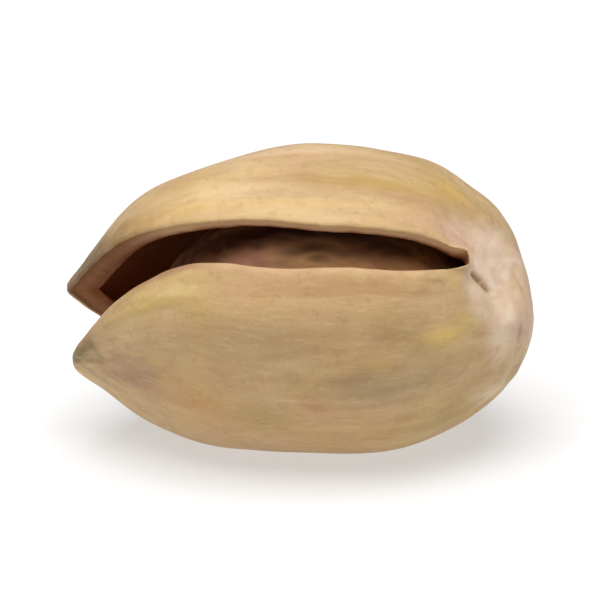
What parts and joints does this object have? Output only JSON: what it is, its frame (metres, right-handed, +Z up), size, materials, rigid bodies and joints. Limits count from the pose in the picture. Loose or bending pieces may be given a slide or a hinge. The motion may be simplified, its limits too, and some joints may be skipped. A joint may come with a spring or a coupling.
{
  "type": "pistachio in shell",
  "caption": "Whole pistachio nut: a hard beige shell split open along its seam, with the dark-skinned kernel loose inside; lies on a small flat spot.",
  "frame": {"origin": "bottom centre of the box round the nut as it lies, on the surface that it rests on", "axes": "+X along the nut from its split, pointed apex to its rounded stem end; +Z up; -Y the side that the open seam faces, 44 degrees above the horizontal"},
  "size_m": [0.0196, 0.0136, 0.0129],
  "materials": {
    "shell": "smooth, dry, hard nutshell with a soft satin sheen",
    "kernel": "matt, papery seed skin"
  },
  "bodies": {
    "root": {"shell": "shell", "kernel": "kernel"}
  },
  "joints": []
}
